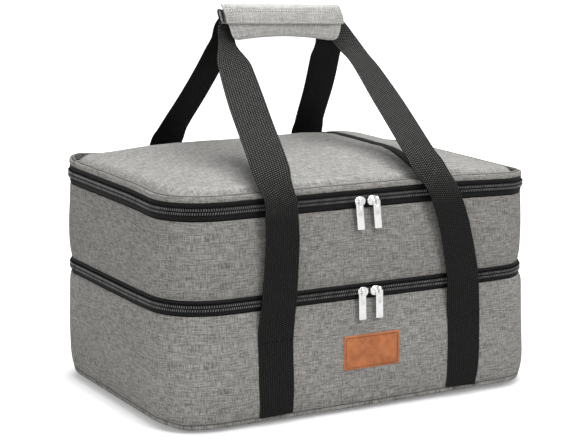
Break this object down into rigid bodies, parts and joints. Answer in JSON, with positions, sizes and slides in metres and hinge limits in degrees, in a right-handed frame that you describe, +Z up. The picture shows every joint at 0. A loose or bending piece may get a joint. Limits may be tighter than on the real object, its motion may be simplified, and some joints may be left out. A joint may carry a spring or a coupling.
{
  "type": "insulated lunch bag",
  "caption": "Soft insulated carrier with two stacked zipped compartments, a padded crowned lid and two webbing loops held by a wrap handle",
  "frame": {"origin": "the middle of the base's underside, which stands on the table", "axes": "+Z up, -Y to the front with the label and the zip pulls, +X to the right as seen from the front"},
  "size_m": [0.4148, 0.3035, 0.3861],
  "materials": {
    "grey_fabric": "grey melange woven polyester",
    "lid_fabric": "light grey melange woven polyester",
    "zip_tape": "black woven zip tape with a nylon coil",
    "webbing": "black ribbed polypropylene webbing",
    "foam": "white closed-cell insulating foam",
    "liner": "silver heat-sealed lining",
    "board": "grey plastic board",
    "leather": "orange-brown leather, matt with a fine grain",
    "metal": "bright nickel plating",
    "hook_loop": "black hook-and-loop tape"
  },
  "bodies": {
    "lower_box": {"base_panel": "grey_fabric", "base_board": "board", "base_foam": "foam", "lower_shell": "grey_fabric", "lower_foam": "foam", "lower_liner": "liner", "lower_zip_lower_tape": "zip_tape", "lower_hinge_lower_half": "grey_fabric", "label_patch": "leather", "front_left_sewn_strap": "webbing", "front_right_sewn_strap": "webbing", "back_left_sewn_strap": "webbing", "back_right_sewn_strap": "webbing"},
    "upper_box": {"upper_floor_skin": "liner", "upper_floor_foam": "foam", "upper_shell": "grey_fabric", "upper_foam": "foam", "upper_liner": "liner", "lower_zip_upper_tape": "zip_tape", "lower_hinge_upper_half": "grey_fabric", "upper_zip_lower_tape": "zip_tape", "upper_hinge_lower_half": "grey_fabric"},
    "lid": {"lid_piping": "lid_fabric", "lid_panel": "lid_fabric", "lid_foam": "foam", "lid_liner": "liner", "lid_band": "webbing", "upper_zip_upper_tape": "zip_tape", "upper_hinge_upper_half": "grey_fabric"},
    "front_fold": {"front_left_fold": "webbing", "front_right_fold": "webbing"},
    "front_handle": {"front_handle_loop": "webbing"},
    "back_fold": {"back_left_fold": "webbing", "back_right_fold": "webbing"},
    "back_handle": {"back_handle_loop": "webbing", "wrap_back_panel": "lid_fabric", "wrap_tongue": "lid_fabric", "wrap_loop_strip": "hook_loop"},
    "flap": {"wrap_flap": "lid_fabric", "wrap_hook_strip": "hook_loop"},
    "slider_upper_left": {"upper_left_slider": "metal"},
    "slider_upper_right": {"upper_right_slider": "metal"},
    "slider_lower_left": {"lower_left_slider": "metal"},
    "slider_lower_right": {"lower_right_slider": "metal"},
    "pull_upper_left": {"upper_left_pull": "metal"},
    "pull_upper_right": {"upper_right_pull": "metal"},
    "pull_lower_left": {"lower_left_pull": "metal"},
    "pull_lower_right": {"lower_right_pull": "metal"}
  },
  "joints": [
    {"name": "upper_box_hinge", "type": "hinge", "parent": "lower_box", "child": "upper_box", "pos_m": [0, 0.143, 0.121], "axis": [-1, 0, 0], "range_deg": [0, 70]},
    {"name": "lid_hinge", "type": "hinge", "parent": "upper_box", "child": "lid", "pos_m": [0, 0.143, 0.212], "axis": [-1, 0, 0], "range_deg": [0, 85]},
    {"name": "front_fold_hinge", "type": "hinge", "parent": "lower_box", "child": "front_fold", "pos_m": [0, -0.1422, 0.07], "axis": [1, 0, 0], "range_deg": [0, 35]},
    {"name": "front_handle_hinge", "type": "hinge", "parent": "front_fold", "child": "front_handle", "pos_m": [0, -0.1441, 0.095], "axis": [1, 0, 0], "range_deg": [0, 94]},
    {"name": "back_fold_hinge", "type": "hinge", "parent": "lower_box", "child": "back_fold", "pos_m": [0, 0.1422, 0.07], "axis": [-1, 0, 0], "range_deg": [0, 56]},
    {"name": "back_handle_hinge", "type": "hinge", "parent": "back_fold", "child": "back_handle", "pos_m": [0, 0.1441, 0.095], "axis": [-1, 0, 0], "range_deg": [0, 51]},
    {"name": "wrap_flap_hinge", "type": "hinge", "parent": "back_handle", "child": "flap", "pos_m": [0, 0.0146, 0.3848], "axis": [-1, 0, 0], "range_deg": [0, 150], "deforming": ["wrap_flap", "wrap_hook_strip", "wrap_tongue", "wrap_loop_strip"]},
    {"name": "upper_left_slide", "type": "slide", "parent": "upper_box", "child": "slider_upper_left", "axis": [-1, 0, 0], "range_m": [0, 0.045]},
    {"name": "upper_right_slide", "type": "slide", "parent": "upper_box", "child": "slider_upper_right", "axis": [1, 0, 0], "range_m": [0, 0.045]},
    {"name": "lower_left_slide", "type": "slide", "parent": "lower_box", "child": "slider_lower_left", "axis": [-1, 0, 0], "range_m": [0, 0.06]},
    {"name": "lower_right_slide", "type": "slide", "parent": "lower_box", "child": "slider_lower_right", "axis": [1, 0, 0], "range_m": [0, 0.06]},
    {"name": "upper_left_pull_swing", "type": "hinge", "parent": "slider_upper_left", "child": "pull_upper_left", "pos_m": [-0.014, -0.14545, 0.212], "axis": [-1, 0, 0], "range_deg": [0, 170]},
    {"name": "upper_right_pull_swing", "type": "hinge", "parent": "slider_upper_right", "child": "pull_upper_right", "pos_m": [0, -0.14545, 0.212], "axis": [-1, 0, 0], "range_deg": [0, 170]},
    {"name": "lower_left_pull_swing", "type": "hinge", "parent": "slider_lower_left", "child": "pull_lower_left", "pos_m": [-0.009, -0.14545, 0.121], "axis": [-1, 0, 0], "range_deg": [0, 170]},
    {"name": "lower_right_pull_swing", "type": "hinge", "parent": "slider_lower_right", "child": "pull_lower_right", "pos_m": [0.005, -0.14545, 0.121], "axis": [-1, 0, 0], "range_deg": [0, 170]}
  ],
  "couplings": [
    {"joint": "front_fold_hinge", "follows": "upper_box_hinge", "ratio": 0.5},
    {"joint": "back_fold_hinge", "follows": "upper_box_hinge", "ratio": 0.8},
    {"joint": "front_handle_hinge", "follows": "lid_hinge", "ratio": 1.1},
    {"joint": "back_handle_hinge", "follows": "lid_hinge", "ratio": 0.6}
  ]
}
